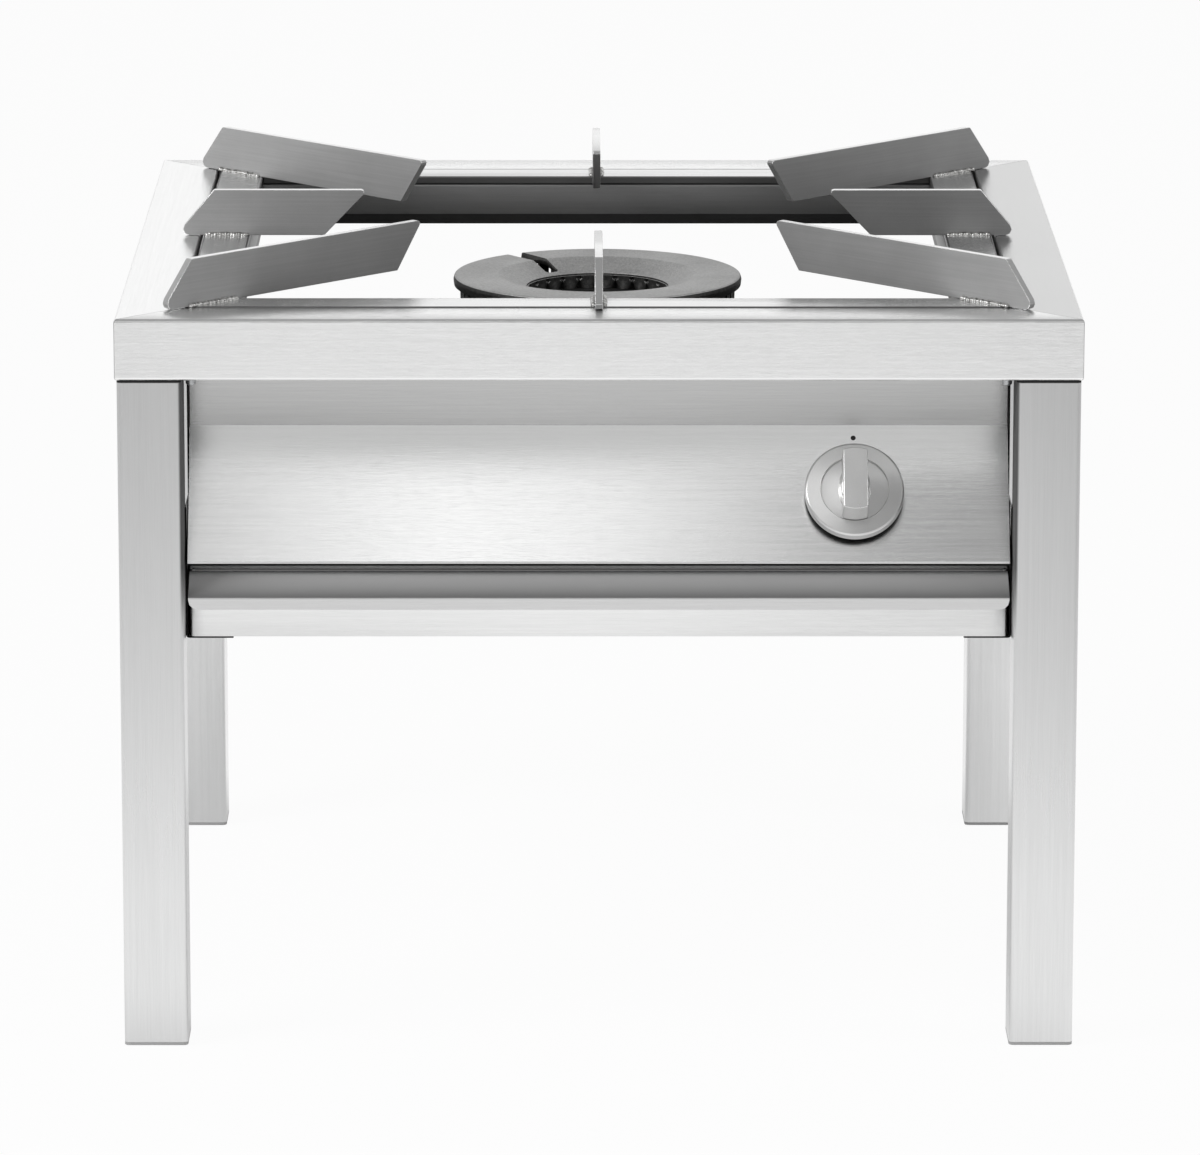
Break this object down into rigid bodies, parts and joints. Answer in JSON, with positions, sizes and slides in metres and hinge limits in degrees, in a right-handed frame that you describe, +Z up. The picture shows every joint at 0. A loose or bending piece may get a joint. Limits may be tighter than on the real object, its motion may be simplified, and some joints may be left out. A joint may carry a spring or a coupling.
{
  "type": "gas stock pot range",
  "caption": "Low free-standing stainless stock pot range: cast iron gas burner under a flush grate with upright fins, slanted control panel with knob, pull-out drip tray, square legs.",
  "frame": {"origin": "on the floor, below the middle of the range", "axes": "+Z up, +Y to the rear, +X to the right seen from the front, where the knob is"},
  "size_m": [0.6, 0.6, 0.496],
  "materials": {
    "brushed_steel": "stainless sheet, brushed lengthwise",
    "leg_steel": "stainless tube, brushed upright",
    "tray_steel": "thin stainless sheet, brushed across",
    "grate_steel": "ground stainless flat bar with rough weld beads",
    "zinc_steel": "zinc plated",
    "cast_iron": "bare cast iron, fine sand grain",
    "dark_iron": "dark cast iron",
    "brass": "machined",
    "copper": "drawn copper tube",
    "knob_silver": "satin silver lacquer",
    "plug_plastic": "moulded"
  },
  "bodies": {
    "range": {"frame_rail_front": "brushed_steel", "frame_rail_right": "brushed_steel", "frame_rail_rear": "brushed_steel", "frame_rail_left": "brushed_steel", "leg_front_left": "leg_steel", "leg_front_right": "leg_steel", "leg_rear_left": "leg_steel", "leg_rear_right": "leg_steel", "foot_plug_front_left": "plug_plastic", "foot_plug_front_right": "plug_plastic", "foot_plug_rear_left": "plug_plastic", "foot_plug_rear_right": "plug_plastic", "side_sheet_left": "brushed_steel", "side_sheet_right": "brushed_steel", "rear_sheet": "brushed_steel", "control_panel": "brushed_steel", "panel_screw_left": "zinc_steel", "panel_screw_right": "zinc_steel", "cross_rail_front": "zinc_steel", "cross_rail_rear": "zinc_steel", "burner_body": "dark_iron", "burner_bolt_front_left": "zinc_steel", "burner_bolt_front_right": "zinc_steel", "burner_bolt_rear_left": "zinc_steel", "burner_bolt_rear_right": "zinc_steel", "injector": "brass", "injector_elbow": "brass", "valve_body": "brass", "valve_nut": "brass", "magnet_unit": "zinc_steel", "feed_pipe": "copper", "supply_pipe": "zinc_steel", "gas_inlet": "brass", "inlet_nut": "brass", "pipe_clip": "zinc_steel", "pilot_bracket": "zinc_steel", "pilot_burner": "brass", "pilot_tube": "copper", "thermocouple": "copper"},
    "tray": {"drip_tray": "tray_steel"},
    "grate": {"grate_bar_front": "grate_steel", "grate_bar_right": "grate_steel", "grate_bar_rear": "grate_steel", "grate_bar_left": "grate_steel", "fin_front": "grate_steel", "fin_right": "grate_steel", "fin_rear": "grate_steel", "fin_left": "grate_steel", "fin_front_left": "grate_steel", "fin_front_right": "grate_steel", "fin_rear_left": "grate_steel", "fin_rear_right": "grate_steel"},
    "cap": {"burner_cap": "cast_iron"},
    "shutter": {"air_shutter": "zinc_steel"},
    "plug": {"valve_plug": "brass"},
    "knob": {"knob": "knob_silver", "valve_spindle": "zinc_steel"}
  },
  "joints": [
    {"name": "tray_slide", "type": "slide", "parent": "range", "child": "tray", "axis": [0, -1, 0], "range_m": [0, 0.575]},
    {"name": "grate_lift", "type": "slide", "parent": "range", "child": "grate", "axis": [0, 0, 1], "range_m": [0, 0.08]},
    {"name": "cap_lift", "type": "slide", "parent": "range", "child": "cap", "axis": [0, 0, 1], "range_m": [0, 0.13]},
    {"name": "shutter_turn", "type": "hinge", "parent": "range", "child": "shutter", "pos_m": [0, -0.197, 0.411], "axis": [0, 1, 0], "range_deg": [0, 45]},
    {"name": "knob_turn", "type": "hinge", "parent": "range", "child": "plug", "pos_m": [0.16, -0.25514, 0.34474], "axis": [0, -0.8387, 0.5446], "range_deg": [0, 180]},
    {"name": "knob_push", "type": "slide", "parent": "plug", "child": "knob", "axis": [0, 0.8387, -0.5446], "range_m": [0, 0.0035], "stiffness_N_per_m": 1500, "springref_m": -0.004}
  ]
}
